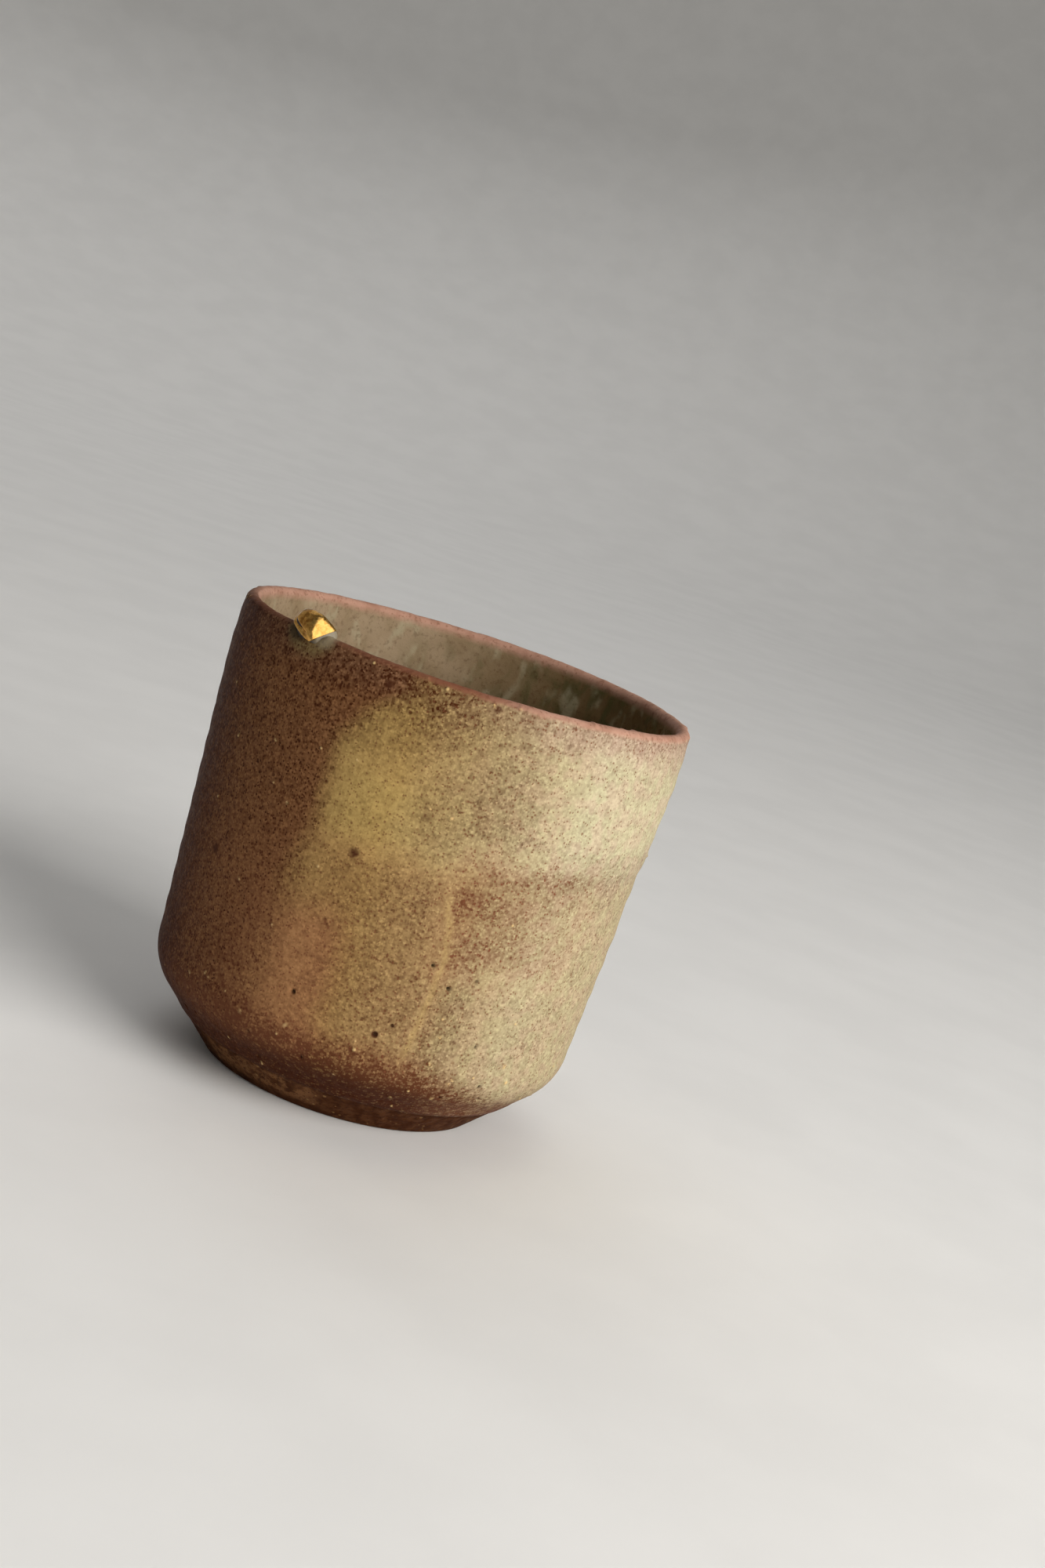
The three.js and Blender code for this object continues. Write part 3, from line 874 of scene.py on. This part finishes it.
def glass_material():
    """Dark at its left end, as painted shade and dark reflection, and milky at the other."""
    g = Graph("milky_glass")
    cloud = g.maths("MULTIPLY", g.noise(1.4, 3), 0.3)
    share = g.step(g.maths("ADD", g.field("along"), cloud), 0.65, 1.0)
    colour = g.mix(share, SHADED_GLASS, MILKY_GLASS)
    g.set(Base_Color=colour, Roughness=0.2, IOR=1.5, Transmission_Weight=0.2, Specular_IOR_Level=0.1)
    g.set(Normal=g.bump(g.noise(1.5, 2), 0.05, 0.4))
    return g.material


def gold_material():
    """Polished on its bright facet; browner on its dome, as a painted reflection of dark surroundings."""
    g = Graph("polished_gold")
    wear = g.step(g.noise(0.9, 3, 0.6, 0.5), 0.42, 0.72)
    # Painted dark reflection on the dome.
    dark_reflection = g.field("dome", g.step(g.noise(1.3, 2, 0.6), 0.30, 0.62, 1.0, 0.35))
    colour = g.mix(dark_reflection, g.mix(wear, GOLD, WORN_GOLD), DARK_REFLECTION_GOLD)
    g.set(Base_Color=colour, Metallic=1.0)
    g.set(Roughness=g.step(g.noise(0.7, 3), 0.3, 0.7, 0.16, 0.30))
    g.set(Normal=g.bump(g.noise(0.6, 3, 0.55), 0.06, 0.5))
    return g.material


def plain_material(name, colour, roughness):
    g = Graph(name)
    mottled = g.mix(g.step(g.noise(40, 4), 0.3, 0.7), colour, tuple(0.96 * c for c in colour))
    g.set(Base_Color=mottled, Roughness=roughness)
    return g.material


# Pieces


def add_field(piece, name, values):
    """A number for each point of a piece, which its material reads by name."""
    layer = piece.data.attributes.new(name, "FLOAT", "POINT")
    layer.data.foreach_set("value", values.astype(np.float32))


def make_cup():
    points, faces, where = cup_points()
    cup = mesh_object("cup", points, faces, cup_material())
    fields = glaze_fields(points, where) | rim_fields(points, where)
    fields["iron"] -= 0.32 * fields["halo"]
    blotches = 0.5 * marks_field(where, BLOTCHES, 1.0, 0.3)
    fields["spot"] = np.maximum(marks_field(where, SPOTS, 1.0, 0.7), blotches)
    # Pale grit on the bumps, partly a painted glint.
    fields["grit"] = marks_field(where, BUMPS + RIM_GRIT, 0.75, 0.2)
    # Painted shade inside the pits, fainter in shallow ones.
    fields["pit_shade"] = marks_field(where, PITS, 0.85, 0.35, PIT_SHADE_DEPTH)
    fields["inside"] = (~where.outer).astype(float)
    fields["clouded"] = smooth(points[:, 0] + 3 * waves(points, 14, 82), -18, 32)
    fields["toasted"] = patches(where.angle, where.height, TOASTED_PATCHES)
    bare_height = where.height + 0.25 * waves(points, 4, 81)
    fields["bare"] = where.outer * smooth(bare_height, GLAZE_LINE + 0.25, GLAZE_LINE - 0.15)
    for name, values in fields.items():
        add_field(cup, name, values)
    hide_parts("cup_body")
    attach(cup, "root")


BRIGHT_FACET = (0.38, 0.83, 0.4)
GLASS_SHARPNESS, GLASS_SHRINK, GLASS_NARROWING = 7.0, 0.10, 1.3
GOLD_SHARPNESS, ROLLED_HEIGHT, CREASE_DEPTH = 7.5, 0.16, 0.30


def drop_facets():
    """The way each facet of the drop faces, outward, along and up, and how far out it lies."""
    return [
        (-0.2, 0, 1, 1.03 * DROP_TOP),
        (*BRIGHT_FACET, DROP_HALF_WIDTH),
        (-0.48, 0.31, 0.82, DROP_TOP),
        (0.44, -0.56, 0.71, 0.95 * DROP_HALF_LENGTH),
        (0.65, -0.7, 0.22, 0.92 * DROP_HALF_LENGTH),
        (0.8, 0.1, 0.5, 1.05 * DROP_HALF_WIDTH),
        (-0.75, -0.1, 0.65, DROP_HALF_WIDTH),
        (0, 1, -0.1, DROP_HALF_LENGTH),
        (0, -1, -0.1, DROP_HALF_LENGTH),
        (1, -0.2, -0.2, DROP_HALF_WIDTH),
        (-1, 0, -0.1, DROP_HALF_WIDTH),
        (0.45, 0.1, -1, 0.9 * DROP_DEPTH),
        (-0.45, -0.1, -1, 0.9 * DROP_DEPTH),
    ]


def pebble(sharpness, grow, subdivisions):
    """The whole drop in its own directions, as a bmesh. A high sharpness gives crisp facets."""
    mesh = bmesh.new()
    bmesh.ops.create_icosphere(mesh, subdivisions=subdivisions, radius=1.0)
    ways = np.array([v.co.normalized() for v in mesh.verts])
    total = np.zeros(len(ways))
    for *facing, distance in drop_facets():
        facing = np.array(facing) / np.linalg.norm(facing)
        total += np.maximum(0, ways @ facing / distance) ** sharpness
    local = ways * (total ** (-1 / sharpness) + grow)[:, None]
    for v, p in zip(mesh.verts, local):
        v.co = p
    return mesh


def object_from(mesh, name, material):
    """A piece from a bmesh in the drop's own directions."""
    bmesh.ops.triangulate(mesh, faces=mesh.faces)
    mesh.verts.index_update()
    local = np.array([v.co for v in mesh.verts])
    faces = [tuple(v.index for v in f.verts) for f in mesh.faces]
    mesh.free()
    return mesh_object(name, from_drop(local), faces, material), local


def make_glass():
    mesh = pebble(GLASS_SHARPNESS, -GLASS_SHRINK, 6)
    for v in mesh.verts:
        sunk = smooth(v.co.z, 0.5, -1.6)
        v.co.x -= GLASS_NARROWING * sunk * v.co.x / DROP_HALF_WIDTH
    glass, local = object_from(mesh, "glass", glass_material())
    add_field(glass, "along", local[:, 1] / DROP_HALF_LENGTH / 2 + 0.5)
    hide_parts("glass_drop")
    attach(glass, "root")


def over_hem(local):
    """How high points of the drop lie over the gold's lower edge, and their place along it."""
    lean = math.radians(HEM_LEAN)
    height = local[:, 0] * math.sin(lean) + local[:, 2] * math.cos(lean) + HEM
    along = local[:, 1] - HEM_PLACE
    climb = np.where(along > 0, math.tan(math.radians(HEM_RIGHT)), -math.tan(math.radians(HEM_LEFT)))
    return height - along * climb, along


def gold_relief(local):
    """A rolled edge along the left part of the hem, a crease above it, and small dents."""
    height, along = over_hem(local)
    seen = smooth(local[:, 0], -0.3, 0.8)
    from_crease = height - 0.72 - 0.1 * waves(local, 2.5, 92)
    crease = np.exp(-((from_crease / 0.26) ** 2)) * smooth(along, -0.6, -1.6) * seen
    rolled = np.exp(-((height / 0.35) ** 2)) * smooth(along, 0.4, -1.0) * seen
    dome = smooth(local[:, 2] - 0.6 * local[:, 1], 0.6, 1.8)
    dents = 0.07 * waves(local, 1.9, 93) + 0.035 * waves(local, 0.9, 94)
    return ROLLED_HEIGHT * rolled - CREASE_DEPTH * crease + dents * (0.35 + 0.65 * dome)


def make_gold():
    mesh = pebble(GOLD_SHARPNESS, 0.0, 7)
    local = np.array([v.co for v in mesh.verts])
    relief = gold_relief(local)
    for v, rise in zip(mesh.verts, relief):
        v.co += v.co.normalized() * rise
    lean = Matrix.Rotation(math.radians(HEM_LEAN), 3, "Y")
    for side, climb in ((1, HEM_RIGHT), (-1, HEM_LEFT)):
        climb = math.radians(climb)
        cut = bmesh.ops.bisect_plane(
            mesh,
            geom=mesh.verts[:] + mesh.edges[:] + mesh.faces[:],
            plane_co=lean @ Vector((0, HEM_PLACE, -HEM)),
            plane_no=lean @ Vector((0, side * math.sin(climb), -math.cos(climb))),
            clear_outer=True,
        )
        rim = [e for e in cut["geom_cut"] if isinstance(e, bmesh.types.BMEdge)]
        bmesh.ops.holes_fill(mesh, edges=rim, sides=0)
    gold, local = object_from(mesh, "gold", gold_material())
    facing = local @ np.array(BRIGHT_FACET) / np.linalg.norm(BRIGHT_FACET)
    # Where the gold gets its painted dark reflection.
    add_field(gold, "dome", smooth(DROP_HALF_WIDTH - facing, 0.10, 0.85))
    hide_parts("gold_cap")
    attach(gold, "root")


# Floor, lights and camera


def make_floor():
    """A round floor that turns up into a wall far from the cup on every side."""
    flat, bend, wall, columns = 1.6, 1.2, 4.0, 96
    path = [(r, 0.0) for r in np.linspace(0.02, flat, 12)]
    for t in np.linspace(0.1, math.pi / 2, 14):
        path.append((flat + bend * math.sin(t), bend * (1 - math.cos(t))))
    path += [(flat + bend, z) for z in np.linspace(bend + 0.3, wall, 6)]
    points, faces = [(0, 0, 0)], []
    for radius, height in path:
        for j in range(columns):
            turn = 2 * math.pi * j / columns
            points.append((radius * math.sin(turn) / MM, -radius * math.cos(turn) / MM, height / MM))
    faces += [(0, 1 + j, 1 + (j + 1) % columns) for j in range(columns)]
    for i in range(len(path) - 1):
        for j in range(columns):
            a, k = 1 + i * columns, (j + 1) % columns
            faces.append((a + j, a + columns + j, a + columns + k, a + k))
    floor = mesh_object("floor", points, faces, plain_material("pale_floor", PALE_FLOOR, 0.7))


def area_light(name, angle, elevation, distance, size, power, colour=(1, 1, 1), mirrored=True, lit=True):
    """A soft light that faces the cup, from an angle round it and an elevation, in degrees and metres.

    mirrored says whether shiny surfaces mirror it, and lit whether it lights the rest.
    """
    turn, rise = math.radians(angle), math.radians(elevation)
    light = bpy.data.lights.new(name, "AREA")
    light.shape = "RECTANGLE"
    light.size, light.size_y = size
    light.energy = power
    light.color = colour
    made = bpy.data.objects.new(name, light)
    towards = Vector((math.sin(turn) * math.cos(rise), -math.cos(turn) * math.cos(rise), math.sin(rise)))
    made.location = towards * distance + Vector((0, 0, 0.04))
    made.rotation_euler = towards.to_track_quat("Z", "Y").to_euler()
    made.visible_glossy, made.visible_diffuse, made.visible_transmission = mirrored, lit, lit
    made.visible_camera = False
    bpy.context.scene.collection.objects.link(made)


def make_lights():
    world = bpy.data.worlds.new("studio")
    world.use_nodes = True
    world.node_tree.nodes["Background"].inputs["Color"].default_value = (*ROOM, 1)
    world.node_tree.nodes["Background"].inputs["Strength"].default_value = 0.06
    bpy.context.scene.world = world
    area_light("window", 50, 23, 1.1, (0.9, 0.9), 18, WINDOW_LIGHT, mirrored=False)
    area_light("panel", 50, 35, 1.1, (0.9, 0.9), 3.6, WINDOW_LIGHT, lit=False)
    area_light("ceiling", 210, 62, 2.0, (2.4, 2.4), 6.5)
    area_light("behind", 195, 40, 2.2, (1.8, 1.8), 8, mirrored=False)


# The camera, fitted to the cup's outline in the photograph
ELEVATION, PAN, TILT, ROLL = 0.224318, 0.0399622, 0.0530230, 0.311138
DISTANCE = 0.42077
FITTED_HEIGHT = 0.0853959
LENS = 50.0


def make_camera():
    back = Vector((0, -math.cos(ELEVATION), math.sin(ELEVATION)))
    right, up = Vector((1, 0, 0)), Vector((0, math.sin(ELEVATION), math.cos(ELEVATION)))
    place = back * DISTANCE + Vector((0, 0, FITTED_HEIGHT / 2))
    right, back = right * math.cos(PAN) + back * math.sin(PAN), back * math.cos(PAN) - right * math.sin(PAN)
    up, back = up * math.cos(TILT) + back * math.sin(TILT), back * math.cos(TILT) - up * math.sin(TILT)
    right, up = right * math.cos(ROLL) + up * math.sin(ROLL), up * math.cos(ROLL) - right * math.sin(ROLL)
    lens = bpy.data.cameras.new("camera")
    lens.lens, lens.sensor_width = LENS, 36.0
    lens.clip_start, lens.clip_end = 0.01, 50.0
    camera = bpy.data.objects.new("camera", lens)
    camera.matrix_world = Matrix.Translation(place) @ Matrix((right, up, back)).transposed().to_4x4()
    bpy.context.scene.collection.objects.link(camera)
    bpy.context.scene.camera = camera


make_camera()
make_cup()
make_glass()
make_gold()
make_floor()
make_lights()
bpy.context.scene.view_settings.view_transform = "Standard"
